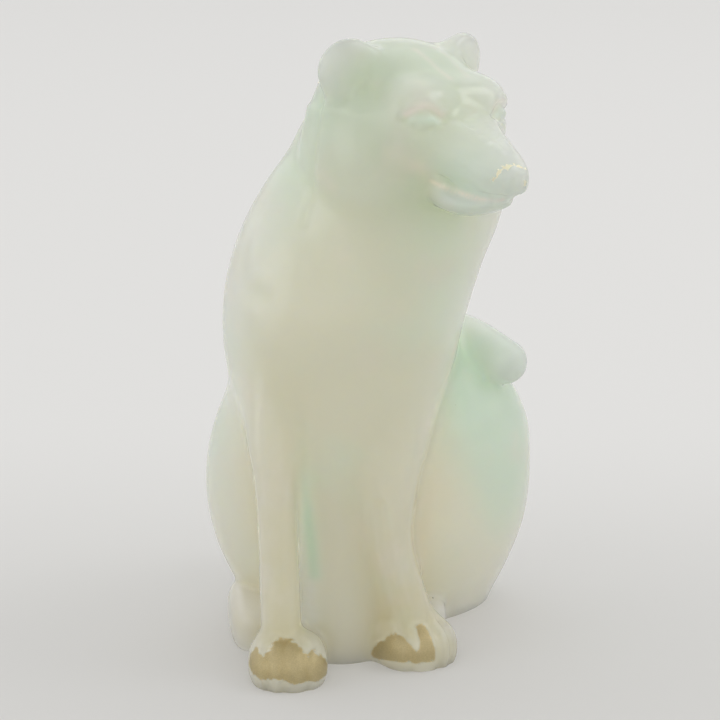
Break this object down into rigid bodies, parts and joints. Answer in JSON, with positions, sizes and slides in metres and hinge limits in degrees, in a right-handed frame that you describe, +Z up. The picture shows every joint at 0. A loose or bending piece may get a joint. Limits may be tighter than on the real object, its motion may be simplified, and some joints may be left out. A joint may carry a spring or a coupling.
{
  "type": "glass fox figurine",
  "caption": "Seated fox figurine of solid opalescent pressed glass, head turned aside and tail laid up its back, standing on a flat underside.",
  "frame": {"origin": "on the surface that the figurine stands on, at the centre of its bounding box's base", "axes": "+Z up, -Y towards the viewer of the forelegs and chest, +X to that viewer's right, the side that the head turns to"},
  "size_m": [0.0542, 0.0606, 0.0998],
  "materials": {
    "opalescent_glass": "milky green-white opalescent glass, glossy, warm cream where thick, with worn gold paint on the toes of both forefeet and flecks of it on the nose"
  },
  "bodies": {
    "root": {"glass_fox": "opalescent_glass"}
  },
  "joints": []
}
